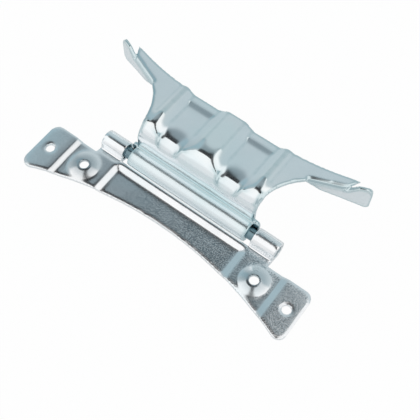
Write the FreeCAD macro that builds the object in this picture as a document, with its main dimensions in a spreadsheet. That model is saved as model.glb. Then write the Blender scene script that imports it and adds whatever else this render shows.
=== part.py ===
import FreeCAD, Part
import os
import Sketcher

# Washing machine door hinge
# A pressed leaf for the cabinet front, a horned door arm and the pin between them.
# Every outline is drawn about the pin: X runs along it, Y goes from the leaf to the arm, Z is up.
# The finished pieces are then moved so that the origin is midway between the two outer screw
# holes, on the back of the leaf's ears. Lengths are millimetres and angles are degrees.

os.makedirs("parts", exist_ok=True)
doc = FreeCAD.newDocument("door_hinge")
sheet = doc.addObject("Spreadsheet::Sheet", "Sizes")

SIZES = {
    # Pin and running clearances
    "pin_radius": 3.5,
    "pin_recess": 0.27,
    "pin_chamfer": 0.4,
    "leaf_clearance": 0.03,
    "arm_clearance": 0.07,
    "roll_seam": 0.15,
    "lip_clearance": 0.35,
    # Leaf: levels of its upper surface, counted from the pin's axis
    "leaf_sheet": 2.2,
    "ear_top": 0.5,
    "land_top": -0.9,
    "pan_depth": 1.6,
    "leaf_bend": 5.0,
    "pan_back_bend": 4.0,
    # Leaf: places along the pin, each counted from the one before it
    "knuckle_gap": 4.05,
    "knuckle_width": 15.22,
    "inner_hole_offset": 14.3,
    "pan_step_offset": 12.65,
    "pan_step_run": 4.7,
    "ear_step_offset": 10.15,
    "ear_step_run": 4.4,
    "outer_hole_offset": 8.1,
    "ear_overhang": 7.6,
    # Leaf: places across the pin
    "pan_back": 8.0,
    "pan_back_run": 3.8,
    "ear_back": 9.95,
    "front_middle": 24.3,
    "front_corner": 40.6,
    "front_arc": 212.0,
    "front_turn": 20.0,
    "ear_round": 4.5,
    # Leaf: screw holes and their dimples
    "outer_hole_back": 24.5,
    "outer_hole_radius": 2.6,
    "inner_hole_back": 21.3,
    "inner_hole_radius": 2.75,
    "dimple_base": 9.3,
    "dimple_crown": 4.0,
    "dimple_rise": 1.9,
    # Leaf: slope of the neck that leads under the pin
    "neck_slope": 17.4,
    # Arm: roll, wall and the bend into its top
    "arm_sheet": 2.5,
    "roll_half": 40.0,
    "shoulder_gap": 0.65,
    "shoulder_top": 6.0,
    "shoulder_round": 2.4,
    "wall_inset": 0.5,
    "leg_overlap": 5.0,
    "crown_bend": 12.0,
    "top_height": 26.4,
    "top_fall": 4.0,
    # Arm: channels between the ribs
    "middle_rib": 5.5,
    "rib_slope_run": 6.6,
    "channel_width": 15.4,
    "outer_slope_run": 6.0,
    "channel_depth": 3.4,
    "channel_side": 0.4,
    "channel_bend": 8.5,
    "near_slope": 2.5,
    "pad_near": 17.8,
    "pad_far": 34.5,
    "rim_start": 38.4,
    "rim_depth": 2.85,
    # Arm: horn panels outside the outer ribs
    "outer_rib_width": 1.5,
    "horn_slope_run": 3.0,
    "horn_depth": 1.2,
    # Arm: plan of its top
    "far_edge": 43.6,
    "channel_edge_dip": 0.9,
    "rib_edge_dip": 0.3,
    "horn_tip_run": 8.1,
    "horn_tip_width": 7.1,
    "far_edge_arc": 160.0,
    "flare_foot": 5.0,
    "flare_start": 13.0,
    "flare_shift": 0.9,
    "flare_arc": 36.0,
    # Arm: flange hanging from each horn, with depths counted from the top's crown
    "flange_start": 51.5,
    "flange_start_y": 32.9,
    "flange_angle": 23.1,
    "flange_bend": 3.2,
    "flange_length": 35.9,
    "flange_depth_start": 5.4,
    "flange_turn": 8.2,
    "flange_depth_turn": 11.1,
    "flange_waist": 21.2,
    "flange_depth_waist": 15.1,
    "flange_depth_end": 19.4,
    "notch_width": 1.6,
    "notch_depth": 6.6,
    "tab_shoulder": 5.8,
    "tab_width": 7.7,
    "tab_depth": 1.7,
    "tab_round": 3.6,
    "tab_foot_round": 2.2,
}

for row, (alias, number) in enumerate(SIZES.items(), start=1):
    sheet.set(f"A{row}", alias)
    sheet.set(f"B{row}", str(number))
    sheet.setAlias(f"B{row}", alias)
doc.recompute()


def value(expression):
    """Number that an expression over the size sheet gives."""
    return float(sheet.evalExpression(expression))


def size(alias):
    """Expression for one named size."""
    return f"Sizes.{alias}"


# Places along the pin, from the middle outwards
KNUCKLE_NEAR = "(Sizes.roll_half + Sizes.knuckle_gap)"
KNUCKLE_FAR = f"({KNUCKLE_NEAR} + Sizes.knuckle_width)"
PIN_HALF = f"({KNUCKLE_FAR} - Sizes.pin_recess)"
SHOULDER_HALF = f"({KNUCKLE_NEAR} - Sizes.shoulder_gap)"
WALL_HALF = "(Sizes.roll_half - Sizes.wall_inset)"
INNER_HOLE_HALF = f"({KNUCKLE_NEAR} + Sizes.inner_hole_offset)"
PAN_STEP_HIGH = f"({INNER_HOLE_HALF} - Sizes.pan_step_offset)"
PAN_STEP_LOW = f"({PAN_STEP_HIGH} - Sizes.pan_step_run)"
EAR_STEP_LOW = f"({INNER_HOLE_HALF} + Sizes.ear_step_offset)"
EAR_STEP_HIGH = f"({EAR_STEP_LOW} + Sizes.ear_step_run)"
OUTER_HOLE_HALF = f"({EAR_STEP_HIGH} + Sizes.outer_hole_offset)"
EAR_REACH = f"({OUTER_HOLE_HALF} + Sizes.ear_overhang)"
CHANNEL_START = "(Sizes.middle_rib + Sizes.rib_slope_run)"
CHANNEL_END = f"({CHANNEL_START} + Sizes.channel_width)"
OUTER_RIB = f"({CHANNEL_END} + Sizes.outer_slope_run)"
OUTER_RIB_END = f"({OUTER_RIB} + Sizes.outer_rib_width)"
HORN_START = f"({OUTER_RIB_END} + Sizes.horn_slope_run)"

# Places along the horn's flange, from its tip back
TAB_START = "(Sizes.flange_length - Sizes.tab_width)"
NOTCH_END = f"({TAB_START} - Sizes.tab_shoulder)"
TOP_END = f"({NOTCH_END} - Sizes.notch_width)"

# Bores, and the radius that each rolled sheet has outside
LEAF_BORE = "(Sizes.pin_radius + Sizes.leaf_clearance)"
KNUCKLE_OUTSIDE = f"({LEAF_BORE} + Sizes.leaf_sheet)"
ARM_BORE = "(Sizes.pin_radius + Sizes.arm_clearance)"
ROLL_OUTSIDE = f"({ARM_BORE} + Sizes.arm_sheet)"

# Levels and slopes
PAN_TOP = "(Sizes.land_top - Sizes.pan_depth)"
LIP = f"({ROLL_OUTSIDE} + Sizes.lip_clearance)"
FALL = "(Sizes.top_fall * 1 deg)"
LEG_TOP = "(Sizes.shoulder_top + Sizes.leg_overlap)"

# Reach of the cutting bodies past the sheets that they trim
ARM_FLOOR = f"({LEG_TOP} - Sizes.leg_overlap / 2)"
LEAF_FLOOR = "-15"
CUT_LOW = "-20"
CUT_HIGH = "60"
CUT_SIDE = "120"
CUT_BACK = "-90"
CUT_FAR = "80"
CUT_PAST = "10"

# Planes of the sketches: origin, and the turn that lays the sketch's own X and Y on them
FLOOR = FreeCAD.Placement()
FRONT = FreeCAD.Placement(FreeCAD.Vector(), FreeCAD.Rotation(FreeCAD.Vector(1, 0, 0), 90))
SIDE = FreeCAD.Placement(FreeCAD.Vector(), FreeCAD.Rotation(0.5, 0.5, 0.5, 0.5))


def arc_centre(start, end, radius, turn, long):
    """Centre of an arc from start to end; turn is 1 counterclockwise and -1 clockwise."""
    chord = end - start
    middle = (start + end) * 0.5
    left = FreeCAD.Vector(-chord.y, chord.x, 0).normalize()
    reach = max(radius ** 2 - (chord.Length / 2) ** 2, 0) ** 0.5
    side = turn if not long else -turn
    return middle + left * (reach * side)


def outline(name, plane, corners):
    """Closed sketch whose corners are pairs of expressions.

    A corner may also hold the bend to the next corner: an expression for the arc's
    radius, its turn (1 or -1) and whether it is the longer way round.
    """
    sketch = doc.addObject("Sketcher::SketchObject", name)
    sketch.Placement = plane
    points = [FreeCAD.Vector(value(corner[0]), value(corner[1]), 0) for corner in corners]
    starts = []
    ends = []
    for index, corner in enumerate(corners):
        start = points[index]
        end = points[(index + 1) % len(points)]
        if len(corner) == 2:
            edge = sketch.addGeometry(Part.LineSegment(start, end), False)
            starts.append((edge, 1))
            ends.append((edge, 2))
            continue
        radius, turn, long = corner[2]
        centre = arc_centre(start, end, value(radius), turn, long)
        circle = Part.Circle(centre, FreeCAD.Vector(0, 0, 1), value(radius))
        first, last = (start, end) if turn > 0 else (end, start)
        edge = sketch.addGeometry(Part.ArcOfCircle(circle, circle.parameter(first),
                                                   circle.parameter(last)), False)
        starts.append((edge, 1 if turn > 0 else 2))
        ends.append((edge, 2 if turn > 0 else 1))
        bend = sketch.addConstraint(Sketcher.Constraint("Radius", edge, value(radius)))
        sketch.renameConstraint(bend, f"bend{index}")
        sketch.setExpression(f"Constraints.bend{index}", radius)
    for index, corner in enumerate(corners):
        edge, tip = starts[index]
        before, tail = ends[index - 1]
        sketch.addConstraint(Sketcher.Constraint("Coincident", before, tail, edge, tip))
        for kind, label, expression in (("DistanceX", "across", corner[0]),
                                        ("DistanceY", "along", corner[1])):
            pair = Sketcher.Constraint(kind, -1, 1, edge, tip, value(expression))
            place = sketch.addConstraint(pair)
            sketch.renameConstraint(place, f"{label}{index}")
            sketch.setExpression(f"Constraints.{label}{index}", expression)
    return sketch


def extruded(name, sketch, direction, start, end):
    """Solid between two distances from the sketch's plane, given as expressions."""
    solid = doc.addObject("Part::Extrusion", name)
    solid.Base = sketch
    solid.DirMode = "Custom"
    solid.Dir = direction
    solid.Solid = True
    solid.setExpression("LengthFwd", end)
    solid.setExpression("LengthRev", f"-({start})")
    return solid


ALONG_PIN = FreeCAD.Vector(1, 0, 0)
ACROSS = FreeCAD.Vector(0, 1, 0)
UPWARDS = FreeCAD.Vector(0, 0, 1)


def cut(name, base, tool):
    solid = doc.addObject("Part::Cut", name)
    solid.Base = base
    solid.Tool = tool
    return solid


def common(name, *shapes):
    solid = doc.addObject("Part::MultiCommon", name)
    solid.Shapes = list(shapes)
    return solid


def fused(name, *shapes):
    solid = doc.addObject("Part::MultiFuse", name)
    solid.Shapes = list(shapes)
    solid.Refine = True
    return solid


def cylinder(name, radius, height, base):
    """Upright cylinder at a place given as three expressions."""
    solid = doc.addObject("Part::Cylinder", name)
    solid.setExpression("Radius", radius)
    solid.setExpression("Height", height)
    for axis, place in zip("xyz", base):
        solid.setExpression(f"Placement.Base.{axis}", place)
    return solid


def joggle(low, low_level, high, high_level, bend, drop):
    """Corners of a smooth step from a low level up to a high one further along.

    bend is the radius on the upper surface and drop the depth below it, so that the
    step's two surfaces stay one sheet thickness apart.
    """
    slope = f"atan((({high_level}) - ({low_level})) / (({high}) - ({low})))"
    reach = f"({bend}) * tan({slope} / 2)"
    return [
        (f"({low}) - {reach}", f"({low_level}) - ({drop})", (f"({bend}) + ({drop})", 1, False)),
        (f"({low}) + {reach} * cos({slope}) + ({drop}) * sin({slope})",
         f"({low_level}) + {reach} * sin({slope}) - ({drop}) * cos({slope})"),
        (f"({high}) - {reach} * cos({slope}) + ({drop}) * sin({slope})",
         f"({high_level}) - {reach} * sin({slope}) - ({drop}) * cos({slope})",
         (f"({bend}) - ({drop})", -1, False)),
        (f"({high}) + {reach}", f"({high_level}) - ({drop})"),
    ]


def mirrored(name, half):
    """Whole piece from its right half."""
    twin = doc.addObject("Part::Mirroring", f"{name}_left")
    twin.Source = half
    twin.Normal = ALONG_PIN
    return fused(name, half, twin)


# Leaf: one pressed sheet
# The volume under the sheet's upper surface, less the volume under its lower surface.


def leaf_form(name, drop):
    """Volume under one surface of the leaf, drop below the upper one."""
    ear = joggle(EAR_STEP_LOW, size("land_top"), EAR_STEP_HIGH, size("ear_top"),
                 size("leaf_bend"), drop)
    profile = outline(f"{name}_profile", FRONT,
                      [("0", LEAF_FLOOR), ("0", f"Sizes.land_top - {drop}")] + ear
                      + [(CUT_SIDE, f"Sizes.ear_top - {drop}"), (CUT_SIDE, LEAF_FLOOR)])
    body = extruded(f"{name}_body", profile, -ACROSS, "0", f"-({CUT_BACK})")
    across = joggle(PAN_STEP_LOW, PAN_TOP, PAN_STEP_HIGH, size("land_top"),
                    size("leaf_bend"), drop)
    past_step = f"{PAN_STEP_HIGH} + Sizes.pan_step_run / 2"
    across_sketch = outline(f"{name}_pan_across", FRONT,
                            [(f"-{CUT_PAST}", f"{PAN_TOP} - {drop}")] + across
                            + [(past_step, f"Sizes.land_top - {drop}"),
                               (past_step, CUT_PAST), (f"-{CUT_PAST}", CUT_PAST)])
    along = joggle("-(Sizes.pan_back + Sizes.pan_back_run)", PAN_TOP, "-Sizes.pan_back",
                   size("land_top"), size("pan_back_bend"), drop)
    along_sketch = outline(f"{name}_pan_along", SIDE,
                           [(CUT_BACK, f"{PAN_TOP} - {drop}")] + along
                           + [("0", f"Sizes.land_top - {drop}"), ("0", CUT_PAST),
                              (CUT_BACK, CUT_PAST)])
    pan = common(f"{name}_pan",
                 extruded(f"{name}_pan_a", across_sketch, -ACROSS, "0", f"-({CUT_BACK})"),
                 extruded(f"{name}_pan_b", along_sketch, ALONG_PIN, f"-{CUT_PAST}", CUT_SIDE))
    lowered = cut(f"{name}_lowered", body, pan)
    cone_slope = "atan(Sizes.dimple_rise / (Sizes.dimple_base - Sizes.dimple_crown))"
    shrink = f"({drop}) * tan({cone_slope} / 2)"
    cone = doc.addObject("Part::Cone", f"{name}_dimple")
    cone.setExpression("Radius1", f"Sizes.dimple_base - {shrink}")
    cone.setExpression("Radius2", f"Sizes.dimple_crown - {shrink}")
    cone.setExpression("Height", size("dimple_rise"))
    cone.setExpression("Placement.Base.x", INNER_HOLE_HALF)
    cone.setExpression("Placement.Base.y", "-Sizes.inner_hole_back")
    cone.setExpression("Placement.Base.z", f"Sizes.land_top - {drop}")
    return fused(name, lowered, cone)


def leaf_plan():
    """Plan of the right half between the pin side's edges and the long front curve."""
    turn = "(Sizes.front_turn * 1 deg)"
    rounded = size("ear_round")
    return outline("leaf_plan", FLOOR, [
        ("0", f"-{LIP}"),
        ("0", "-Sizes.front_middle", ("Sizes.front_arc", -1, False)),
        (f"{EAR_REACH} - {rounded} * (1 + sin{turn})", "-Sizes.front_corner",
         (rounded, 1, False)),
        (EAR_REACH, f"-Sizes.front_corner + {rounded} * cos{turn}"),
        (EAR_REACH, f"-Sizes.ear_back - {rounded}", (rounded, 1, False)),
        (f"{EAR_REACH} - {rounded}", "-Sizes.ear_back"),
        (KNUCKLE_NEAR, "-Sizes.ear_back"),
        (KNUCKLE_NEAR, f"-{LIP}"),
    ])


def leaf_knuckle():
    """Sheet running under the pin, up the far side and over to its own upper surface."""
    slope = "(Sizes.neck_slope * 1 deg)"
    land = "Sizes.land_top"
    under = "(Sizes.land_top - Sizes.leaf_sheet)"
    bend_top = f"-{LEAF_BORE} * sin{slope} - ({land} + {LEAF_BORE} * cos{slope}) / tan{slope}"
    bend_under = (f"-{KNUCKLE_OUTSIDE} * sin{slope}"
                  f" - ({under} + {KNUCKLE_OUTSIDE} * cos{slope}) / tan{slope}")
    end = f"(270 deg - {slope} - acos(({LEAF_BORE} - Sizes.roll_seam) / {KNUCKLE_OUTSIDE}))"
    sketch = outline("knuckle_profile", SIDE, [
        ("-Sizes.ear_back", under),
        (bend_under, under),
        (f"-{KNUCKLE_OUTSIDE} * sin{slope}", f"-{KNUCKLE_OUTSIDE} * cos{slope}",
         (KNUCKLE_OUTSIDE, 1, True)),
        (f"{KNUCKLE_OUTSIDE} * cos{end}", f"{KNUCKLE_OUTSIDE} * sin{end}"),
        (f"{LEAF_BORE} * cos{end}", f"{LEAF_BORE} * sin{end}", (LEAF_BORE, -1, True)),
        (f"-{LEAF_BORE} * sin{slope}", f"-{LEAF_BORE} * cos{slope}"),
        (bend_top, land),
        ("-Sizes.ear_back", land),
    ])
    return extruded("knuckle", sketch, ALONG_PIN, KNUCKLE_NEAR, KNUCKLE_FAR)


def leaf():
    upper = leaf_form("leaf_upper", "0")
    lower = leaf_form("leaf_lower", size("leaf_sheet"))
    pressed = cut("leaf_pressed", upper, lower)
    plan = extruded("leaf_blank", leaf_plan(), UPWARDS, CUT_LOW, CUT_PAST)
    trimmed = common("leaf_trimmed", pressed, plan)
    half = fused("leaf_half", trimmed, leaf_knuckle())
    whole = mirrored("leaf_whole", half)
    holes = []
    for side, sign in (("right", ""), ("left", "-")):
        for row, half_spacing in (("outer", OUTER_HOLE_HALF), ("inner", INNER_HOLE_HALF)):
            place = (f"{sign}{half_spacing}", f"-Sizes.{row}_hole_back", LEAF_FLOOR)
            holes.append(cylinder(f"{row}_hole_{side}", size(f"{row}_hole_radius"), CUT_FAR,
                                  place))
    return cut("cabinet_leaf", whole, fused("leaf_holes", *holes))


# Arm: one pressed sheet from the roll on the pin to the tips of its horns


def turned(expression_from, expression_to):
    """Direction of the line between two corners, as an expression in degrees."""
    run = f"(({expression_to[0]}) - ({expression_from[0]}))"
    rise = f"(({expression_to[1]}) - ({expression_from[1]}))"
    return f"atan2({rise}; {run})"


def inset(path, drop):
    """The same open path moved sideways to the right of its direction by drop."""
    moved = []
    for index, corner in enumerate(path):
        before = turned(path[index - 1], corner) if index > 0 else None
        after = turned(corner, path[index + 1]) if index + 1 < len(path) else before
        before = before or after
        middle = f"(({before} + {after}) / 2)"
        reach = f"({drop}) / cos(({after} - {before}) / 2)"
        moved.append((f"({corner[0]}) + {reach} * sin({middle})",
                      f"({corner[1]}) - {reach} * cos({middle})"))
    return moved


def arm_crown(name, drop, depth):
    """Volume inside the arm's wall, bend and top, where the top is depth below its crown."""
    radius = f"(Sizes.crown_bend - {drop})"
    face = f"({ARM_BORE} + {drop})"
    centre_y = f"({ARM_BORE} + Sizes.crown_bend)"
    crown = f"(Sizes.top_height - {depth})"
    centre_z = f"({crown} - {centre_y} * tan{FALL} - Sizes.crown_bend / cos{FALL})"
    sketch = outline(f"{name}_side", SIDE, [
        (face, ARM_FLOOR),
        (CUT_FAR, ARM_FLOOR),
        (CUT_FAR, f"{crown} - {CUT_FAR} * tan{FALL} - {drop} / cos{FALL}"),
        (f"{centre_y} + {radius} * sin{FALL}", f"{centre_z} + {radius} * cos{FALL}",
         (radius, 1, False)),
        (face, centre_z),
    ])
    return extruded(f"{name}_bent", sketch, ALONG_PIN, f"-{CUT_PAST}", CUT_SIDE)


def channel_floor(name, drop):
    """Volume under a channel: up the wall, round its bend, back over the pad, up to the rim."""
    def level(along, depth):
        return f"(Sizes.top_height - ({along}) * tan{FALL} - {depth})"

    tilt = "(Sizes.near_slope * 1 deg)"
    pad_edge = level("Sizes.pad_near", "Sizes.channel_depth")
    centre_y = f"({ARM_BORE} + Sizes.channel_bend)"
    centre_z = (f"({pad_edge} - (Sizes.pad_near - {centre_y}) * tan{tilt}"
                f" - Sizes.channel_bend / cos{tilt})")
    path = inset([
        (f"{centre_y} - Sizes.channel_bend * sin{tilt}",
         f"{centre_z} + Sizes.channel_bend * cos{tilt}"),
        (size("pad_near"), pad_edge),
        (size("pad_far"), level("Sizes.pad_far", "Sizes.channel_depth")),
        (size("rim_start"), level("Sizes.rim_start", "Sizes.rim_depth")),
        (CUT_FAR, level(CUT_FAR, "Sizes.rim_depth")),
    ], drop)
    face = f"{ARM_BORE} + {drop}"
    bend = (f"Sizes.channel_bend - {drop}", -1, False)
    sketch = outline(f"{name}_side", SIDE,
                     [(face, ARM_FLOOR), (face, centre_z, bend)] + path[:-1]
                     + [(CUT_FAR, path[-1][1]), (CUT_FAR, ARM_FLOOR)])
    return extruded(f"{name}_under", sketch, ALONG_PIN, f"-{CUT_PAST}", CUT_SIDE)


def falling(name, sketch):
    """Solid that runs back from the pin, falling as the arm's top does."""
    direction = FreeCAD.Rotation(ALONG_PIN, -value("Sizes.top_fall")).multVec(ACROSS)
    return extruded(name, sketch, direction, CUT_LOW, CUT_FAR)


def channel(name, drop):
    """Space pressed out between the middle rib and the outer rib."""
    pad = "(Sizes.top_height - Sizes.channel_depth)"
    lifted = f"(Sizes.top_height + {CUT_PAST})"
    rib_run = "(Sizes.rib_slope_run / Sizes.channel_depth)"
    outer_run = "(Sizes.outer_slope_run / Sizes.channel_depth)"
    inward = f"Sizes.channel_side * ({pad} - {ARM_FLOOR})"
    path = inset([
        (f"Sizes.middle_rib - {rib_run} * {CUT_PAST}", lifted),
        (CHANNEL_START, pad),
        (f"{CHANNEL_START} + {inward}", ARM_FLOOR),
        (f"{CHANNEL_END} - {inward}", ARM_FLOOR),
        (CHANNEL_END, pad),
        (f"{OUTER_RIB} + {outer_run} * {CUT_PAST}", lifted),
    ], drop)
    sketch = outline(f"{name}_across", FRONT, path)
    return cut(name, falling(f"{name}_trough", sketch), channel_floor(name, drop))


def horn_panel(name, drop):
    """Space above the lower panel outside the outer rib."""
    run = "(Sizes.horn_slope_run / Sizes.horn_depth)"
    floor = f"(Sizes.top_height - Sizes.horn_depth - {drop})"
    foot = f"({HORN_START} - {drop} * tan(atan(1 / {run}) / 2))"
    sketch = outline(f"{name}_across", FRONT, [
        (foot, "0"),
        (CUT_SIDE, "0"),
        (CUT_SIDE, f"{floor} + {CUT_PAST}"),
        (f"{foot} - {run} * {CUT_PAST}", f"{floor} + {CUT_PAST}"),
        (foot, floor),
    ])
    return cut(name, falling(f"{name}_trough", sketch), arm_crown(name, drop, size("horn_depth")))


def arm_form(name, drop):
    """Volume inside one surface of the arm, drop below the outer one."""
    crown = arm_crown(name, drop, "0")
    opened = cut(f"{name}_opened", crown, channel(f"{name}_channel", drop))
    return cut(f"{name}_form", opened, horn_panel(f"{name}_horn", drop))


def flange_point(along, outward):
    """Place in plan along the flange's outer face and outward from it."""
    angle = "(Sizes.flange_angle * 1 deg)"
    return (f"Sizes.flange_start + ({along}) * cos{angle} + ({outward}) * sin{angle}",
            f"Sizes.flange_start_y + ({along}) * sin{angle} - ({outward}) * cos{angle}")


def arm_plan():
    """Plan of the right half of the arm's wall and top."""
    channel_edge = "Sizes.far_edge - Sizes.channel_edge_dip"
    rib_half = "Sizes.rib_slope_run / 4"
    return outline("arm_plan", FLOOR, [
        ("0", "0"),
        (WALL_HALF, "0"),
        (WALL_HALF, size("flare_foot")),
        (f"{WALL_HALF} + Sizes.flare_shift", size("flare_start"),
         (size("flare_arc"), -1, False)),
        (size("flange_start"), size("flange_start_y")),
        flange_point("0", CUT_PAST),
        flange_point(TOP_END, CUT_PAST),
        flange_point(TOP_END, "-Sizes.flange_bend / 5"),
        flange_point(f"{TOP_END} + Sizes.horn_tip_run", "-Sizes.horn_tip_width")
        + ((size("far_edge_arc"), -1, False),),
        (f"{OUTER_RIB} + {rib_half}", "Sizes.far_edge - Sizes.rib_edge_dip"),
        (CHANNEL_END, channel_edge),
        (f"{CHANNEL_START} + {rib_half}", channel_edge),
        (f"Sizes.middle_rib + {rib_half}", size("far_edge")),
        ("0", size("far_edge")),
    ])


def horn_block(name, drop):
    """Volume inside a horn's top and flange, with the bend between them rounded."""
    edge = outline(f"{name}_plan", FLOOR, [
        (size("flange_start"),
         f"Sizes.flange_start_y + {drop} / cos(Sizes.flange_angle * 1 deg)"),
        flange_point(CUT_FAR, f"-{drop}"),
        (f"Sizes.flange_start + {CUT_FAR}", CUT_FAR),
        (size("flange_start"), CUT_FAR),
    ])
    column = extruded(f"{name}_column", edge, UPWARDS, CUT_LOW, CUT_HIGH)
    block = common(f"{name}_block", column, arm_crown(name, drop, size("horn_depth")))
    doc.recompute()
    radius = value(f"Sizes.flange_bend - {drop}")
    rounded = doc.addObject("Part::Fillet", f"{name}_rounded")
    rounded.Base = block
    numbers = []
    for number, side in enumerate(block.Shape.Edges, start=1):
        rise = side.tangentAt(side.FirstParameter)
        middle = side.CenterOfMass
        across = abs(rise.x) > 0.5 and 0.1 < abs(rise.y) < 0.9
        if across and middle.z > value("Sizes.top_height") / 2:
            numbers.append(number)
    rounded.Edges = [(number, radius, radius) for number in numbers]
    return rounded


def roll():
    """Sheet wrapped round the pin, from the wall's foot to its own free edge."""
    end = f"(acos(({ARM_BORE} - Sizes.roll_seam) / {ROLL_OUTSIDE}))"
    ring = outline("roll_profile", SIDE, [
        (ROLL_OUTSIDE, "0", (ROLL_OUTSIDE, -1, True)),
        (f"{ROLL_OUTSIDE} * cos{end}", f"{ROLL_OUTSIDE} * sin{end}"),
        (f"{ARM_BORE} * cos{end}", f"{ARM_BORE} * sin{end}", (ARM_BORE, 1, True)),
        (ARM_BORE, "0"),
    ])
    wrap = outline("shoulder_profile", SIDE, [
        (ROLL_OUTSIDE, "0", (ROLL_OUTSIDE, -1, False)),
        ("0", f"-{ROLL_OUTSIDE}"),
        ("0", f"-{ARM_BORE}", (ARM_BORE, 1, False)),
        (ARM_BORE, "0"),
    ])
    leg = outline("leg_outline", FRONT, [
        ("0", "0"),
        (SHOULDER_HALF, "0"),
        (SHOULDER_HALF, "Sizes.shoulder_top - Sizes.shoulder_round",
         (size("shoulder_round"), 1, False)),
        (f"{SHOULDER_HALF} - Sizes.shoulder_round", size("shoulder_top")),
        (WALL_HALF, size("shoulder_top")),
        (WALL_HALF, LEG_TOP),
        ("0", LEG_TOP),
    ])
    return [
        extruded("roll", ring, ALONG_PIN, "0", size("roll_half")),
        extruded("shoulder_wrap", wrap, ALONG_PIN, "0", SHOULDER_HALF),
        extruded("leg", leg, ACROSS, ARM_BORE, ROLL_OUTSIDE),
    ]


def flange():
    """Tab at the horn's tip, standing free of the top, and the flange's lower edge."""
    angle = value("Sizes.flange_angle")
    upright = FreeCAD.Rotation(UPWARDS, angle).multiply(FRONT.Rotation)
    start = FreeCAD.Vector(value("Sizes.flange_start"), value("Sizes.flange_start_y"), 0)
    plane = FreeCAD.Placement(start, upright)
    inward = upright.multVec(FreeCAD.Vector(0, 0, -1))
    start_level, turn_level, waist_level, end_level, notch_level, tab_top = (
        f"(Sizes.top_height - Sizes.{depth})" for depth in (
            "flange_depth_start", "flange_depth_turn", "flange_depth_waist",
            "flange_depth_end", "notch_depth", "tab_depth"))
    lower_edge = [
        ("0", start_level),
        (size("flange_turn"), turn_level),
        (size("flange_waist"), waist_level),
        ("Sizes.flange_length - Sizes.tab_foot_round", end_level),
    ]
    waste = outline("flange_waste", plane,
                    [(f"-{CUT_PAST}", CUT_LOW), (CUT_FAR, CUT_LOW), (CUT_FAR, end_level)]
                    + lower_edge[::-1] + [(f"-{CUT_PAST}", start_level)])
    tab = outline("tab_outline", plane, [
        lower_edge[1],
        lower_edge[2],
        lower_edge[3] + ((size("tab_foot_round"), 1, False),),
        (size("flange_length"), f"{end_level} + Sizes.tab_foot_round"),
        (size("flange_length"), f"{tab_top} - Sizes.tab_round",
         (size("tab_round"), 1, False)),
        ("Sizes.flange_length - Sizes.tab_round", tab_top),
        (TAB_START, tab_top),
        (NOTCH_END, notch_level),
        (size("flange_turn"), notch_level),
    ])
    return (extruded("flange_trim", waste, inward, CUT_LOW, CUT_FAR),
            extruded("tab", tab, inward, "0", size("arm_sheet")))


def arm():
    trim, tab = flange()
    middle_shell = cut("arm_middle_shell", arm_form("arm_outer", "0"),
                       arm_form("arm_inner", size("arm_sheet")))
    middle_plan = outline("middle_plan", FLOOR, [
        ("0", "0"), (size("flange_start"), "0"), (size("flange_start"), CUT_FAR), ("0", CUT_FAR),
    ])
    middle = common("arm_middle", middle_shell,
                    extruded("middle_block", middle_plan, UPWARDS, CUT_LOW, CUT_HIGH))
    horn_shell = cut("horn_shell", horn_block("horn_outer", "0"),
                     horn_block("horn_inner", size("arm_sheet")))
    horn = cut("horn", horn_shell, trim)
    blank = extruded("arm_blank", arm_plan(), UPWARDS, CUT_LOW, CUT_HIGH)
    top = common("arm_top", fused("arm_shell", middle, horn), blank)
    half = fused("arm_half", top, tab, *roll())
    return mirrored("door_arm", half)


def pin():
    rod = doc.addObject("Part::Cylinder", "pin_rod")
    rod.setExpression("Radius", size("pin_radius"))
    rod.setExpression("Height", f"2 * {PIN_HALF}")
    rod.Placement = FreeCAD.Placement(FreeCAD.Vector(-value(PIN_HALF), 0, 0),
                                      FreeCAD.Rotation(ACROSS, 90))
    doc.recompute()
    chamfer = doc.addObject("Part::Chamfer", "hinge_pin")
    chamfer.Base = rod
    rims = [number for number, edge in enumerate(rod.Shape.Edges, start=1)
            if edge.Closed and edge.Length > 1 and edge.Curve.TypeId == "Part::GeomCircle"]
    bevel = value("Sizes.pin_chamfer")
    chamfer.Edges = [(number, bevel, bevel) for number in rims]
    return chamfer


pieces = {"cabinet_leaf": leaf(), "door_arm": arm(), "hinge_pin": pin()}
for name, piece in pieces.items():
    piece.Label = name
    piece.setExpression("Placement.Base.y", "Sizes.outer_hole_back")
    piece.setExpression("Placement.Base.z", "Sizes.leaf_sheet - Sizes.ear_top")
doc.recompute()

for member in doc.Objects:
    if "Invalid" in member.State or "Error" in member.State:
        raise RuntimeError(f"{member.Name} did not build: {member.State}")
for name, piece in pieces.items():
    if piece.Shape.isNull() or not piece.Shape.isValid():
        raise RuntimeError(f"{name} has no valid shape")
    piece.Shape.exportStep(f"parts/{name}.step")
    box = piece.Shape.BoundBox
    print(name, len(piece.Shape.Solids), round(piece.Shape.Volume, 1), box)
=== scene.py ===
"""Washing machine door hinge: two pressed, zinc plated sheets and the pin between them."""

import logging
import math
from dataclasses import dataclass
from enum import Enum
from typing import Any

import bmesh
import bpy
import numpy as np
from mathutils import Matrix, Vector

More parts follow.
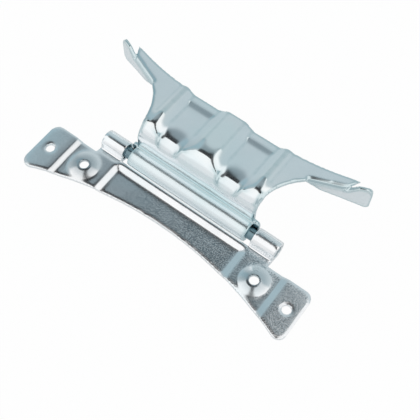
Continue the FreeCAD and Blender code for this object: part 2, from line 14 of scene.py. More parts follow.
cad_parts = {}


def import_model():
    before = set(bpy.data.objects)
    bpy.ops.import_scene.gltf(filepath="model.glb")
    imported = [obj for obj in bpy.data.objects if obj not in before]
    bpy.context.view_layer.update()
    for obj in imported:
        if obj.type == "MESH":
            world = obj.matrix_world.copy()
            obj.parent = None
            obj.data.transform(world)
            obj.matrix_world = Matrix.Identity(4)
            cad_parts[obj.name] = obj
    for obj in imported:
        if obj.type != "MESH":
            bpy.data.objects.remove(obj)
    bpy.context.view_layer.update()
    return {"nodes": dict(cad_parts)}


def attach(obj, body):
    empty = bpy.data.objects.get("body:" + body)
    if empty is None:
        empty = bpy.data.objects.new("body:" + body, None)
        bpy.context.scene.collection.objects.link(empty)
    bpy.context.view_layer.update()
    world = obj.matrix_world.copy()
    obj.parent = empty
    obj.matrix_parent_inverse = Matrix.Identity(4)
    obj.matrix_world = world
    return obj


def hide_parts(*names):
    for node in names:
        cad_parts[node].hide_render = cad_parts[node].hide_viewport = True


LOG = logging.getLogger("door_hinge")
MM = 0.001
WHITE = (1.0, 1.0, 1.0, 1)

Colour = tuple[float, float, float, float]
Span = tuple[float, float]


class Piece(Enum):
    """The CAD nodes of the hinge."""

    LEAF = "cabinet_leaf"
    ARM = "door_arm"
    PIN = "hinge_pin"


class Body(Enum):
    """The bodies that the sheets ride on."""

    LEAF = "leaf_body"
    ARM = "arm_body"


class Mark(Enum):
    """Shares that a sheet's mesh carries at each vertex."""

    FLAT = "flat"
    ROLLED = "rolled"
    FOLDED = "folded"


class Shade:
    """A shader socket that adds Math nodes when Python arithmetic is done on it."""

    def __init__(self, tree: bpy.types.NodeTree, socket: bpy.types.NodeSocket) -> None:
        """Wrap a socket.

        Args:
            tree: the node tree that new nodes go into.
            socket: the output socket that holds the value.
        """
        self.tree = tree
        self.socket = socket

    def _math(self, operation: str, *values: Any) -> "Shade":
        """Add a Math node.

        Args:
            operation: the node's operation.
            values: its inputs, as Shade objects or numbers.

        Returns:
            The node's result.
        """
        node = self.tree.nodes.new("ShaderNodeMath")
        node.operation = operation
        for place, given in enumerate(values):
            if isinstance(given, Shade):
                self.tree.links.new(given.socket, node.inputs[place])
            else:
                node.inputs[place].default_value = float(given)
        return Shade(self.tree, node.outputs[0])

    def __add__(self, other: Any) -> "Shade":
        """Sum with another value."""
        return self._math("ADD", self, other)

    __radd__ = __add__

    def __sub__(self, other: Any) -> "Shade":
        """Difference to another value."""
        return self._math("SUBTRACT", self, other)

    def __rsub__(self, other: Any) -> "Shade":
        """Another value less this one."""
        return self._math("SUBTRACT", other, self)

    def __mul__(self, other: Any) -> "Shade":
        """Product with another value."""
        return self._math("MULTIPLY", self, other)

    __rmul__ = __mul__

    def __truediv__(self, other: Any) -> "Shade":
        """Quotient by another value."""
        return self._math("DIVIDE", self, other)

    def __pow__(self, other: Any) -> "Shade":
        """This value to a power."""
        return self._math("POWER", self, other)

    def __abs__(self) -> "Shade":
        """The value without its sign."""
        return self._math("ABSOLUTE", self)

    def clamped(self) -> "Shade":
        """The value kept between 0 and 1."""
        return self._math("MAXIMUM", self._math("MINIMUM", self, 1.0), 0.0)

    def step(self, low: float, high: float) -> "Shade":
        """Smooth ramp between two values.

        Args:
            low: value at which the ramp gives 0.
            high: value at which the ramp gives 1.

        Returns:
            3t squared less 2t cubed, with t the clamped share of the way from low to high.
        """
        share = ((self - low) / (high - low)).clamped()
        return share * share * (3.0 - 2.0 * share)


class NodeKit:
    """Adds nodes to one tree and links them."""

    def __init__(self, tree: bpy.types.NodeTree) -> None:
        """Start from an empty tree.

        Args:
            tree: the node tree to fill.
        """
        self.tree = tree
        tree.nodes.clear()

    def node(self, kind: str, settings: dict[str, Any] | None = None,
             inputs: dict[Any, Any] | None = None) -> bpy.types.Node:
        """Add a node.

        Args:
            kind: the node's type.
            settings: its properties, which are set first.
            inputs: values, sockets or Shade objects for its input sockets.

        Returns:
            The new node.
        """
        node = self.tree.nodes.new(kind)
        for name, given in (settings or {}).items():
            setattr(node, name, given)
        for name, given in (inputs or {}).items():
            if isinstance(given, Shade):
                given = given.socket
            if isinstance(given, bpy.types.NodeSocket):
                self.tree.links.new(given, node.inputs[name])
            else:
                node.inputs[name].default_value = given
        return node

    def value(self, node: bpy.types.Node, output: Any = 0) -> Shade:
        """Wrap one of a node's outputs."""
        return Shade(self.tree, node.outputs[output])

    def blend(self, factor: Any, first: Any, second: Any) -> bpy.types.NodeSocket:
        """Mix two colours.

        Args:
            factor: share of the second colour.
            first: colour at 0.
            second: colour at 1.

        Returns:
            The mixed colour's socket.
        """
        node = self.node("ShaderNodeMix", {"data_type": "RGBA"},
                         {0: factor, 6: first, 7: second})
        return node.outputs[2]


@dataclass(frozen=True)
class Noise:
    """A noise pattern on Object coordinates.

    Attributes:
        scale: how many of its cells lie in a metre.
        detail: number of its finer layers.
        roughness: how strongly they show.
    """

    scale: float
    detail: float
    roughness: float

    def shade(self, kit: NodeKit, place: bpy.types.NodeSocket) -> Shade:
        """Add the pattern to a tree.

        Args:
            kit: the tree's node kit.
            place: socket with the Object coordinates.

        Returns:
            The pattern's value.
        """
        return kit.value(kit.node("ShaderNodeTexNoise", {}, {
            "Vector": place, "Scale": self.scale, "Detail": self.detail,
            "Roughness": self.roughness}))


# Patterns of the plating, and the spans of their values over which they set in.
CLOUDS = Noise(45.0, 4.0, 0.55)
WAVES = Noise(60.0, 1.0, 0.4)
GRAIN = Noise(1500.0, 2.0, 0.6)
FILMS = Noise(28.0, 2.0, 0.5)
CLOUD_SPAN = (0.35, 0.7)
SPECK_SPAN = (0.36, 0.64)
FILM_SPAN = (0.5, 0.75)
FILM_SHARE = 0.4
# Share of the grain that shows everywhere, and how far the clouds shift the coarse grain's start.
FINE_GRAIN = 0.15
REACH_WANDER = 0.06
# Heights of the lower wall's end and of the rib tops, and the right ear's start along the hinge.
FOOT_SPAN = (7.0 * MM, 17.0 * MM)
RIB_TOP_SPAN = (24.2 * MM, 26.2 * MM)
EAR_SPAN = (60.0 * MM, 72.0 * MM)
# Middle of the right dimple, along and across the hinge, and the radii between which it lies.
DIMPLE = (58.35 * MM, 3.2 * MM)
DIMPLE_SPAN = (4.0 * MM, 9.6 * MM)
# Teal colour of the painted shade in the folds and bends.
FOLD_SHADE_COLOUR = (0.30, 0.50, 0.53, 1)
# Colour of the painted highlight on the rib tops.
HIGHLIGHT_COLOUR = (1.0, 1.0, 0.99, 1)


@dataclass(frozen=True)
class ZincFinish:
    """Bright zinc plating on pressed steel.

    Attributes:
        name: the material's name.
        light: colour of the cleanest plating.
        dark: colour of its darker clouds and grain.
        tint: colour of the thin film that shows in patches, and of the painted shade on the lower
            wall.
        cloud_share: how much of the dark colour the clouds bring.
        grain_and_glint_share: how much of the dark colour the grain brings, as the plating's grain
            and as painted glints.
        grain_and_glint_reach: places along the hinge between which the coarse grain, with its
            painted glints, sets in.
        ear_speck_fade: how far the dark specks are thinned out on the right ear.
        dimple_shade: how much of the dark colour is painted as shade round the dimples' holes.
        rib_top_highlight: how much painted highlight lies on the highest ribs.
        fold_shade: how much painted shade, in the folds' teal colour, lies in the folds and bends.
        foot_shade: how much of the tint is painted as shade on the lower wall, most at its foot.
        roughness: roughness of the smooth plating.
        grain_roughness: what the grain adds to it.
        slope_roughness: what the drawn slopes add to it.
        roll_roughness: what the rolled surface adds to it.
        relief: height of the grain, in metres.
        waviness: height of the long waves in the pressed sheet, in metres.
    """

    name: str
    light: Colour
    dark: Colour
    tint: Colour
    cloud_share: float
    grain_and_glint_share: float
    grain_and_glint_reach: Span
    ear_speck_fade: float
    dimple_shade: float
    rib_top_highlight: float
    fold_shade: float
    foot_shade: float
    roughness: float
    grain_roughness: float
    slope_roughness: float
    roll_roughness: float
    relief: float
    waviness: float

    def material(self) -> bpy.types.Material:
        """Build the procedural material.

        Returns:
            The material, with clouds, grain and a thin tinted film on Object coordinates, and with
            painted shade, glints and highlight.
        """
        material = bpy.data.materials.new(self.name)
        material.use_nodes = True
        kit = NodeKit(material.node_tree)
        place = kit.node("ShaderNodeTexCoord").outputs["Object"]
        clouds, waves, grain, films = (
            pattern.shade(kit, place) for pattern in (CLOUDS, WAVES, GRAIN, FILMS))
        axes = kit.node("ShaderNodeSeparateXYZ", {}, {"Vector": place})
        along, across, height = (kit.value(axes, axis) for axis in ("X", "Y", "Z"))
        flat, rolled, folded = (
            kit.value(kit.node("ShaderNodeAttribute", {"attribute_name": mark.value}), "Fac")
            for mark in Mark)
        # Coarse dark specks that set in along the hinge: partly the plating's grain, partly painted
        # glints.
        reach = (along + (clouds - 0.5) * REACH_WANDER).step(*self.grain_and_glint_reach)
        coarse = (reach * (1.0 - FINE_GRAIN) + FINE_GRAIN) * flat
        faded_specks = along.step(*EAR_SPAN) * self.ear_speck_fade
        speck = (grain - faded_specks).step(*SPECK_SPAN)
        colour = self._colour(kit, clouds.step(*CLOUD_SPAN) * self.cloud_share
                              + speck * coarse * self.grain_and_glint_share, along, across, height)
        # The film's patches, and painted shade in the tint towards the foot of the lower wall.
        film = films.step(*FILM_SPAN) * FILM_SHARE + (1.0 - height.step(*FOOT_SPAN)) * self.foot_shade
        colour = kit.blend(film.clamped(), colour, self.tint)
        # Painted shade in the folds and bends.
        colour = kit.blend(folded * self.fold_shade, colour, FOLD_SHADE_COLOUR)
        wavy = kit.node("ShaderNodeBump", {}, {
            "Strength": 1.0, "Distance": self.waviness, "Height": waves})
        bump = kit.node("ShaderNodeBump", {}, {
            "Strength": 1.0, "Distance": self.relief, "Height": grain * coarse,
            "Normal": wavy.outputs[0]})
        shader = kit.node("ShaderNodeBsdfPrincipled", {}, {
            "Base Color": colour, "Metallic": 1.0,
            "Roughness": (coarse * self.grain_roughness + rolled * self.roll_roughness
                          + (1.0 - flat) * (1.0 - rolled) * self.slope_roughness
                          + self.roughness),
            "Normal": bump.outputs[0]})
        kit.node("ShaderNodeOutputMaterial", {}, {"Surface": shader.outputs[0]})
        return material

    def _colour(self, kit: NodeKit, clouds_grain_and_glints: Shade, along: Shade, across: Shade,
                height: Shade) -> bpy.types.NodeSocket:
        """Blend the plating's colour, with its painted glints, shade and highlight, before any film
        lies on it.

        Args:
            kit: the material's node kit.
            clouds_grain_and_glints: share of the dark colour that clouds, grain and painted glints
                bring.
            along: place along the hinge.
            across: place across it.
            height: height above the frame's origin.

        Returns:
            The colour, with painted shade round the dimples' holes and a painted highlight on the
            rib tops.
        """
        base = kit.blend(clouds_grain_and_glints, self.light, self.dark)
        # Painted shade round the dimples' holes.
        aside = abs(along) - DIMPLE[0]
        back = across - DIMPLE[1]
        dimple = 1.0 - ((aside * aside + back * back) ** 0.5).step(*DIMPLE_SPAN)
        base = kit.blend(dimple * self.dimple_shade, base, self.dark)
        # Painted highlight on the rib tops.
        return kit.blend(height.step(*RIB_TOP_SPAN) * self.rib_top_highlight, base, HIGHLIGHT_COLOUR)


LEAF_ZINC = ZincFinish(
    "leaf_zinc", light=(0.98, 0.99, 1.0, 1), dark=(0.20, 0.28, 0.32, 1),
    tint=(0.80, 0.93, 0.97, 1), cloud_share=0.10, grain_and_glint_share=0.82,
    grain_and_glint_reach=(-0.045, 0.025), ear_speck_fade=0.11, dimple_shade=0.5, rib_top_highlight=0.0,
    fold_shade=0.0, foot_shade=0.0,
    roughness=0.13, grain_roughness=0.08, slope_roughness=0.05, roll_roughness=0.0,
    relief=0.00009, waviness=0.0002)
ARM_ZINC = ZincFinish(
    "arm_zinc", light=(0.92, 0.96, 0.98, 1), dark=(0.76, 0.83, 0.86, 1),
    tint=(0.76, 0.92, 0.94, 1), cloud_share=0.3, grain_and_glint_share=0.10,
    grain_and_glint_reach=(-0.4, -0.3), ear_speck_fade=0.0, dimple_shade=0.0, rib_top_highlight=0.6,
    fold_shade=0.40, foot_shade=0.15,
    roughness=0.11, grain_roughness=0.03, slope_roughness=0.0, roll_roughness=0.15,
    relief=0.000006, waviness=0.00025)
# The pin's colours are painted dark teal, as the shade that lies on it in the gaps between the
# rolls.
PIN_SHADED_STEEL = ZincFinish(
    "pin_steel", light=(0.22, 0.32, 0.36, 1), dark=(0.10, 0.15, 0.18, 1),
    tint=(0.14, 0.30, 0.34, 1), cloud_share=0.3, grain_and_glint_share=0.3,
    grain_and_glint_reach=(-0.4, -0.3), ear_speck_fade=0.0, dimple_shade=0.0, rib_top_highlight=0.0,
    fold_shade=0.0, foot_shade=0.0,
    roughness=0.20, grain_roughness=0.06, slope_roughness=0.0, roll_roughness=0.0,
    relief=0.000006, waviness=0.00005)

# Place of the pin's axis, across the hinge and in height.
PIN_AXIS = (24.5 * MM, 1.7 * MM)
# Value of what is measured at which each mark is 0, and at which it is 1.
MARK_SPANS = {
    Mark.FLAT: (0.975, 0.995),
    Mark.ROLLED: (7.4 * MM, 6.5 * MM),
    Mark.FOLDED: (0.02, 0.07),
}
# Rays into the steel start and end at these shares of its thickness.
RAY_START = 0.05
RAY_REACH = 1.22
# Share of the way that one smoothing pass moves a vertex, on a face and at a sheared edge.
FACE_PULL = 0.6
EDGE_PULL = 0.5
# Passes between two readings of the normals, and those that spread a movement over the edges.
NORMAL_REFRESH = 6
SPREAD_PASSES = 24
# How often the normals are blurred for the smoothing, and normals and folds for the marks.
NORMAL_BLUR = 2
FLAT_BLUR = 3
FOLD_BLUR = 2
WELD = 1e-6
TINY = 1e-9


@dataclass
class PressedSheet:
    """A pressed and rolled sheet whose bends are softened.

    Attributes:
        piece: the CAD node that it stands for.
        body: the body that it rides on.
        finish: its plating.
        thickness: of the steel.
        voxel: spacing of its mesh.
        crisp: angle between two small faces above which their edge is drawn crisp, in degrees.
        passes: how often the bends are smoothed.
        edge_passes: how often the sheared edges are.
    """

    piece: Piece
    body: Body
    finish: ZincFinish
    thickness: float = 2.2 * MM
    voxel: float = 0.5 * MM
    crisp: float = 180.0
    passes: int = 14
    edge_passes: int = 2

    def build(self, node: bpy.types.Object) -> bpy.types.Object:
        """Make the softened sheet from the CAD node.

        Args:
            node: the CAD node's object.

        Returns:
            The new object, which replaces the node.
        """
        source = self._merged(node)
        even = self._even_mesh(source)
        sheet = bpy.data.objects.new(f"{self.piece.value}_sheet", even)
        bpy.context.scene.collection.objects.link(sheet)
        self._soften(even, self._faces_of_sheet(even, source))
        bpy.data.objects.remove(source)
        self._mark(even)
        even.shade_smooth()
        even.set_sharp_from_angle(angle=math.radians(self.crisp))
        even.materials.clear()
        even.materials.append(self.finish.material())
        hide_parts(self.piece.value)
        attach(sheet, self.body.value)
        return sheet

    @staticmethod
    def _merged(node: bpy.types.Object) -> bpy.types.Object:
        """Copy a node with its loose triangles joined into one surface.

        Args:
            node: the CAD node's object, left as it is.

        Returns:
            The joined copy, linked into the scene.
        """
        mesh = node.data.copy()
        work = bmesh.new()
        work.from_mesh(mesh)
        bmesh.ops.remove_doubles(work, verts=work.verts, dist=WELD)
        work.to_mesh(mesh)
        work.free()
        copy = bpy.data.objects.new("merged", mesh)
        bpy.context.scene.collection.objects.link(copy)
        return copy

    def _even_mesh(self, source: bpy.types.Object) -> bpy.types.Mesh:
        """Remesh the surface evenly and lay it back on the original one.

        Args:
            source: the joined surface.

        Returns:
            The even mesh.
        """
        even = bpy.data.objects.new("even", source.data.copy())
        bpy.context.scene.collection.objects.link(even)
        remesh = even.modifiers.new("even", "REMESH")
        remesh.mode = "VOXEL"
        remesh.voxel_size = self.voxel
        wrap = even.modifiers.new("lay", "SHRINKWRAP")
        wrap.target = source
        wrap.wrap_method = "NEAREST_SURFACEPOINT"
        return self._applied(even)

    @staticmethod
    def _applied(worked: bpy.types.Object) -> bpy.types.Mesh:
        """Apply an object's modifiers and remove the object.

        Args:
            worked: the object that carries them.

        Returns:
            The mesh that they give.
        """
        bpy.context.view_layer.update()
        graph = bpy.context.evaluated_depsgraph_get()
        mesh = bpy.data.meshes.new_from_object(worked.evaluated_get(graph))
        bpy.data.objects.remove(worked)
        return mesh

    def _faces_of_sheet(self, mesh: bpy.types.Mesh, source: bpy.types.Object) -> np.ndarray:
        """Tell the sheet's two faces from its sheared edges.

        A vertex is on a face where a ray into the steel comes out about one thickness
        further on.

        Args:
            mesh: the even mesh.
            source: the surface that it came from.

        Returns:
            One flag for each vertex.
        """
        start = self.thickness * RAY_START
        tested = bpy.data.objects.new("tested", mesh.copy())
        bpy.context.scene.collection.objects.link(tested)
        sink = tested.modifiers.new("sink", "DISPLACE")
        sink.mid_level = 0.0
        sink.strength = -start
        reach = tested.modifiers.new("reach", "SHRINKWRAP")
        reach.target = source
        reach.wrap_method = "PROJECT"
        reach.use_positive_direction = False
        reach.use_negative_direction = True
        reach.project_limit = self.thickness * RAY_REACH
        moved = self._places(self._applied(tested)) - self._places(mesh)
        return (moved ** 2).sum(axis=1) > (2.0 * start) ** 2

    @staticmethod
    def _places(mesh: bpy.types.Mesh) -> np.ndarray:
        """Read where a mesh's vertices are.

        Args:
            mesh: the mesh.

        Returns:
            One row for each vertex.
        """
        places = np.empty(len(mesh.vertices) * 3)
        mesh.vertices.foreach_get("co", places)
        return places.reshape(-1, 3)

    @staticmethod
    def _normals(mesh: bpy.types.Mesh) -> np.ndarray:
        """Read a mesh's vertex normals.

        Args:
            mesh: the mesh.

        Returns:
            One row for each vertex.
        """
        normals = np.empty(len(mesh.vertices) * 3)
        mesh.vertices.foreach_get("normal", normals)
        return normals.reshape(-1, 3)

    @staticmethod
    def _edges(mesh: bpy.types.Mesh) -> np.ndarray:
        """Read which vertices a mesh's edges join.

        Args:
            mesh: the mesh.

        Returns:
            One pair of vertex indices for each edge.
        """
        edges = np.empty(len(mesh.edges) * 2, int)
        mesh.edges.foreach_get("vertices", edges)
        return edges.reshape(-1, 2)

    @staticmethod
    def _neighbour_mean(values: np.ndarray, edges: np.ndarray, used: np.ndarray) -> np.ndarray:
        """Mean of each vertex's neighbours, counting only those that are used.

        Args:
            values: one row for each vertex.
            edges: pairs of vertex indices.
            used: flag for each vertex that may be counted.

        Returns:
            The means, with a vertex's own value where no neighbour is used.
        """
        count = len(values)
        share = used.astype(float)
        first, last = edges[:, 0], edges[:, 1]
        weight = (np.bincount(first, share[last], count)
                  + np.bincount(last, share[first], count))
        total = np.stack([
            np.bincount(first, values[last, axis] * share[last], count)
            + np.bincount(last, values[first, axis] * share[first], count)
            for axis in range(values.shape[1])], axis=1)
        return np.where(weight[:, None] > 0, total / np.maximum(weight, TINY)[:, None], values)

    def _blurred(self, values: np.ndarray, edges: np.ndarray, used: np.ndarray,
                 times: int) -> np.ndarray:
        """Take the neighbours' mean several times over.

        Args:
            values: one row for each vertex.
            edges: pairs of vertex indices.
            used: flag for each vertex that may be counted.
            times: how often.

        Returns:
            The blurred values.
        """
        for _ in range(times):
            values = self._neighbour_mean(values, edges, used)
        return values

    def pass_weight(self, places: np.ndarray, turn: int) -> np.ndarray:
        """Share of a smoothing pass that each vertex takes.

        Args:
            places: the vertices' places.
            turn: number of the pass.

        Returns:
            One weight for each vertex.
        """
        return np.full(len(places), FACE_PULL if turn < self.passes else 0.0)

    def total_passes(self) -> int:
        """Number of smoothing passes."""
        return self.passes

    def _soften(self, mesh: bpy.types.Mesh, on_face: np.ndarray) -> None:
        """Round the bends of the sheet and leave its outline where it is.

        Each pass moves a face's vertex towards the mean of its neighbours on the faces, but
        only along its normal. The sheared edges then follow by spreading that movement over
        them, and a last light smoothing takes the sharpness off the corners.

        Args:
            mesh: the even mesh, changed in place.
            on_face: flag for each vertex on one of the sheet's faces.
        """
        start = self._places(mesh)
        places = start.copy()
        edges = self._edges(mesh)
        for turn in range(self.total_passes()):
            if turn % NORMAL_REFRESH == 0:
                mesh.vertices.foreach_set("co", places.ravel())
                mesh.update()
                up = self._blurred(self._normals(mesh), edges, on_face, NORMAL_BLUR)
                up = up / np.maximum(np.linalg.norm(up, axis=1, keepdims=True), TINY)
            move = self._neighbour_mean(places, edges, on_face) - places
            along = (move * up).sum(axis=1) * self.pass_weight(start, turn) * on_face
            places += up * along[:, None]
        moved = places - start
        everywhere = np.ones(len(start), bool)
        for _ in range(SPREAD_PASSES):
            spread = self._neighbour_mean(moved, edges, everywhere)
            moved = np.where(on_face[:, None], moved, spread)
        places = start + moved
        for _ in range(self.edge_passes):
            places += EDGE_PULL * (self._neighbour_mean(places, edges, everywhere) - places)
        mesh.vertices.foreach_set("co", places.ravel())
        mesh.update()

    def _mark(self, mesh: bpy.types.Mesh) -> None:
        """Write down how flat, how rolled and how folded the sheet is at each vertex.

        Flat is the share of the blurred normal that points up or down, rolled depends on
        the distance from the pin's axis, and folded is the blurred turn of the normal nearby.

        Args:
            mesh: the softened mesh.
        """
        edges = self._edges(mesh)
        places = self._places(mesh)
        normals = self._normals(mesh)
        count = len(places)
        everywhere = np.ones(count, bool)
        ends = edges.ravel()
        turned = np.linalg.norm(normals[edges[:, 0]] - normals[edges[:, 1]], axis=1)
        shared = np.bincount(ends, minlength=count)
        fold = (np.bincount(ends, np.repeat(turned, 2), count) / shared)[:, None]
        up = self._blurred(normals, edges, everywhere, FLAT_BLUR)
        fold = self._blurred(fold, edges, everywhere, FOLD_BLUR)
        measured = {
            Mark.FLAT: np.abs(up[:, 2]),
            Mark.ROLLED: np.hypot(places[:, 1] - PIN_AXIS[0], places[:, 2] - PIN_AXIS[1]),
            Mark.FOLDED: fold[:, 0],
        }
        for mark, (none, full) in MARK_SPANS.items():
            share = (measured[mark] - none) / (full - none)
            layer = mesh.attributes.new(mark.value, "FLOAT", "POINT")
            layer.data.foreach_set("value", np.clip(share, 0.0, 1.0))


@dataclass
class ArmSheet(PressedSheet):
    """The arm, whose ribs run out smoothly over the bend.

    Attributes:
        bend_passes: smoothing passes in the bend and on the upper wall.
        bend_top: place across the hinge where the heavy smoothing ends.
        bend_foot: height at which it starts on the wall.
        bend_fade: length over which it sets in and ends.
    """

    bend_passes: int = 110
    bend_top: float = 41.0 * MM
    bend_foot: float = 11.0 * MM
    bend_fade: float = 4.0 * MM

    def total_passes(self) -> int:
        """Number of smoothing passes."""
        return self.bend_passes

    def pass_weight(self, places: np.ndarray, turn: int) -> np.ndarray:
        """Share of a smoothing pass, which the later passes take near the bend only.

        Args:
            places: the vertices' places.
            turn: number of the pass.

        Returns:
            One weight for each vertex.
        """
        if turn < self.passes:
            return super().pass_weight(places, turn)
        near = np.clip((self.bend_top + self.bend_fade - places[:, 1]) / self.bend_fade, 0.0, 1.0)
        high = np.clip((places[:, 2] - self.bend_foot) / self.bend_fade, 0.0, 1.0)
        return FACE_PULL * (near * high)


@dataclass
class HingePin:
    """The plain rod in the three rolls, coloured dark as painted shade."""

    finish: ZincFinish = PIN_SHADED_STEEL

    def dress(self, node: bpy.types.Object) -> None:
        """Give the CAD node its finish.

        Args:
            node: the pin's object.
        """
        material = self.finish.material()
        for slot in node.material_slots:
            slot.material = material


@dataclass(frozen=True)
class SkyBar:
    """Soft-edged bar in the upper part of the dome.

    Attributes:
        place: its middle, as the sideways and forward parts of a ray's direction, which
            are its X and Y.
        half: half its length and half its width.
        turn: its turn in that plane, in degrees.
        soft: half the width of its soft border.
        share: how much of the sky behind it it covers.
        colour: its own colour.
    """

    place: Span
    half: Span
    turn: float
    soft: float
    share: float
    colour: Colour

    def mask(self, sideways: Shade, forward: Shade) -> Shade:
        """Tell what lies inside the bar.

        Args:
            sideways: X of the ray's direction, along the pin.
            forward: Y of it, from the leaf towards the arm.

        Returns:
            Product of two smooth falls, each by the square of the distance from one of the
            bar's middle lines.
        """
        cosine = math.cos(math.radians(self.turn))
        sine = math.sin(math.radians(self.turn))
        off = (sideways - self.place[0], forward - self.place[1])
        ways = (off[0] * cosine + off[1] * sine, off[1] * cosine - off[0] * sine)
        long, wide = (
            1.0 - (way * way).step((half - self.soft) ** 2, (half + self.soft) ** 2)
            for way, half in zip(ways, self.half))
        return long * wide


NEAR_BLACK = (0.012, 0.014, 0.016, 1)
LAMP = SkyBar((0.27, 0.08), (0.26, 0.38), 0.0, 0.05, 1.0, WHITE)
DUSK = SkyBar((-0.28, 0.33), (0.17, 0.08), 0.0, 0.07, 0.62, (0.14, 0.19, 0.22, 1))
SLATE = SkyBar((-0.68, 0.32), (0.20, 0.12), 0.0, 0.05, 0.75, (0.32, 0.46, 0.52, 1))
STREAK = SkyBar((-0.02, 0.01), (0.36, 0.10), -66.0, 0.05, 0.92, NEAR_BLACK)
BOOM = SkyBar((-0.29, 0.12), (0.16, 0.125), 0.0, 0.02, 1.0, NEAR_BLACK)


@dataclass(frozen=True)
class Dome:
    """Pale dome of light, graded by the sideways, forward and upward parts of a ray's direction.

    These are its X, Y and Z. Each span gives the values between which an area of the dome
    sets in.

    Attributes:
        above: upward part, for the bars.
        horizon: upward part, for the grey and the flanks.
        behind: forward, for the grey behind the hinge.
        beside: forward less its lean times sideways, for the grey beside it.
        beside_lean: that lean.
        beside_end: sideways, where the grey beside the hinge ends.
        grey_span: forward, from the nearer grey to the farther one.
        greys: those two.
        near: forward, down to the dome's near part.
        near_share: how much of its colour it takes.
        near_colour: that colour.
        flank_left: sideways, for the left flank.
        flank_right: sideways, for the right one.
        flank_near: forward, down to both.
        flank_share: how much of their colour they take.
        flank_colour: that colour.
        dark_share: how dark the dark bars may get.
    """

    above: Span = (0.3, 0.6)
    horizon: Span = (-0.05, 0.15)
    behind: Span = (0.16, 0.28)
    beside: Span = (0.36, 0.52)
    beside_lean: float = 0.75
    beside_end: Span = (-0.42, -0.30)
    grey_span: Span = (0.40, 0.56)
    greys: tuple[Colour, Colour] = ((0.43, 0.50, 0.53, 1), (0.52, 0.60, 0.63, 1))
    near: Span = (-0.92, -0.72)
    near_share: float = 0.8
    near_colour: Colour = (0.76, 0.77, 0.78, 1)
    flank_left: Span = (-0.75, -0.50)
    flank_right: Span = (0.05, 0.35)
    flank_near: Span = (-0.60, -0.35)
    flank_share: float = 0.8
    flank_colour: Colour = (0.40, 0.47, 0.50, 1)
    dark_share: float = 0.98

    def build(self) -> None:
        """Make the world, which the camera itself sees as plain white."""
        world = bpy.data.worlds.new("studio")
        bpy.context.scene.world = world
        world.use_nodes = True
        kit = NodeKit(world.node_tree)
        ray = kit.node("ShaderNodeTexCoord").outputs["Generated"]
        parts = kit.node("ShaderNodeSeparateXYZ", {}, {"Vector": ray})
        sideways, forward, up = (kit.value(parts, axis) for axis in ("X", "Y", "Z"))
        above = up.step(*self.above)
        horizon = up.step(*self.horizon)
        beside = ((forward - sideways * self.beside_lean).step(*self.beside)
                  * (1.0 - sideways.step(*self.beside_end)))
        grey = (forward.step(*self.behind) + beside).clamped() * horizon
        near = 1.0 - forward.step(*self.near)
        flank = ((1.0 - sideways.step(*self.flank_left) + sideways.step(*self.flank_right))
                 * (1.0 - forward.step(*self.flank_near)) * horizon)
        graded = kit.blend(grey, WHITE, kit.blend(forward.step(*self.grey_span), *self.greys))
        for bar in (DUSK, SLATE):
            graded = kit.blend(bar.mask(sideways, forward) * above * bar.share, graded, bar.colour)
        graded = kit.blend(near * self.near_share, graded, self.near_colour)
        graded = kit.blend(flank * self.flank_share, graded, self.flank_colour)
        graded = kit.blend(LAMP.mask(sideways, forward) * above * LAMP.share, graded, LAMP.colour)
        streak, boom = (bar.mask(sideways, forward) * above * bar.share for bar in (STREAK, BOOM))
        dark = (streak + boom).clamped() * self.dark_share
        darkened = kit.blend(dark, graded, NEAR_BLACK)
        camera = kit.value(kit.node("ShaderNodeLightPath"), "Is Camera Ray")
        seen = kit.blend(camera, darkened, WHITE)
        light = kit.node("ShaderNodeBackground", {}, {"Color": seen, "Strength": 1.0})
        kit.node("ShaderNodeOutputWorld", {}, {"Surface": light.outputs[0]})


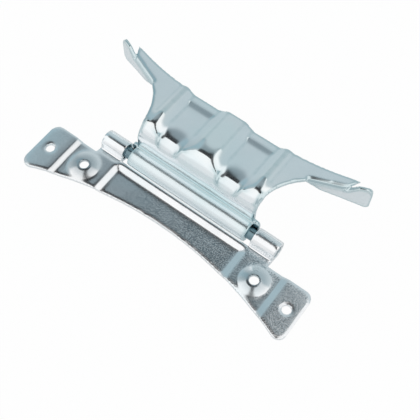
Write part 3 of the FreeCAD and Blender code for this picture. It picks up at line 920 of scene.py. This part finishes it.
@dataclass
class Studio:
    """The pale floor and the camera.

    Attributes:
        azimuth: direction that the camera looks along, in degrees from +Y.
        elevation: height of the camera above the horizon, in degrees.
        roll: turn of the camera about its own axis, in degrees.
        distance: from the camera to the point that it aims at.
        aim: that point.
        lens: focal length for a sensor 36 mm wide, in mm.
        clip_start: distance at which the camera starts to see.
        floor_level: height of the floor.
        floor_reach: from its middle to its edges.
        floor_colour: its own colour.
        camera_glow: how far the camera sees it as plain white.
        gloss_glow: how far its reflection is.
    """

    azimuth: float = 35.19
    elevation: float = 62.24
    roll: float = 1.64
    distance: float = 432.21 * MM
    aim: tuple[float, float, float] = (15.17 * MM, 22.71 * MM, 1.7 * MM)
    lens: float = 67.85
    clip_start: float = 10.0 * MM
    floor_level: float = -30 * MM
    floor_reach: float = 3.0
    floor_colour: Colour = (0.97, 0.97, 0.97, 1)
    camera_glow: float = 0.97
    gloss_glow: float = 0.05

    def camera(self) -> None:
        """Place the camera at the photograph's viewing angle."""
        turn, rise, roll = (math.radians(angle)
                            for angle in (self.azimuth, self.elevation, self.roll))
        back = Vector((math.sin(turn) * math.cos(rise), -math.cos(turn) * math.cos(rise),
                       math.sin(rise)))
        level = Vector((math.cos(turn), math.sin(turn), 0.0))
        upright = back.cross(level)
        right = math.cos(roll) * level + math.sin(roll) * upright
        above = -math.sin(roll) * level + math.cos(roll) * upright
        data = bpy.data.cameras.new("camera")
        data.lens = self.lens
        data.clip_start = self.clip_start
        camera = bpy.data.objects.new("camera", data)
        bpy.context.scene.collection.objects.link(camera)
        camera.matrix_world = Matrix.Translation(Vector(self.aim) + self.distance * back) @ (
            Matrix((right, above, back)).transposed().to_4x4())
        bpy.context.scene.camera = camera

    def floor(self) -> None:
        """Lay a wide pale floor under the hinge."""
        mesh = bpy.data.meshes.new("floor")
        signs = ((-1, -1), (1, -1), (1, 1), (-1, 1))
        corners = [(side * self.floor_reach, depth * self.floor_reach, self.floor_level)
                   for side, depth in signs]
        mesh.from_pydata(corners, [], [(0, 1, 2, 3)])
        floor = bpy.data.objects.new("floor", mesh)
        bpy.context.scene.collection.objects.link(floor)
        material = bpy.data.materials.new("floor_white")
        material.use_nodes = True
        kit = NodeKit(material.node_tree)
        path = kit.node("ShaderNodeLightPath")
        bright = (kit.value(path, "Is Camera Ray") * self.camera_glow
                  + kit.value(path, "Is Glossy Ray") * self.gloss_glow)
        diffuse = kit.node("ShaderNodeBsdfDiffuse", {}, {"Color": self.floor_colour})
        glow = kit.node("ShaderNodeEmission", {}, {"Color": WHITE, "Strength": 1.0})
        mixed = kit.node("ShaderNodeMixShader", {}, {
            0: bright, 1: diffuse.outputs[0], 2: glow.outputs[0]})
        kit.node("ShaderNodeOutputMaterial", {}, {"Surface": mixed.outputs[0]})
        mesh.materials.append(material)


def main() -> None:
    """Build the hinge and its studio in order."""
    logging.basicConfig(level=logging.INFO, format="%(message)s")
    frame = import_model()
    bpy.context.scene.view_settings.view_transform = "Standard"
    nodes = frame["nodes"]
    sheets = [PressedSheet(Piece.LEAF, Body.LEAF, LEAF_ZINC, crisp=30.0, passes=22,
                           edge_passes=0),
              ArmSheet(Piece.ARM, Body.ARM, ARM_ZINC, thickness=2.5 * MM)]
    for sheet in sheets:
        made = sheet.build(nodes[sheet.piece.value])
        LOG.info("%s: %d vertices", made.name, len(made.data.vertices))
    HingePin().dress(nodes[Piece.PIN.value])
    LOG.info("%s: dressed", Piece.PIN.value)
    studio = Studio()
    studio.camera()
    studio.floor()
    Dome().build()


if __name__ == "__main__":
    main()
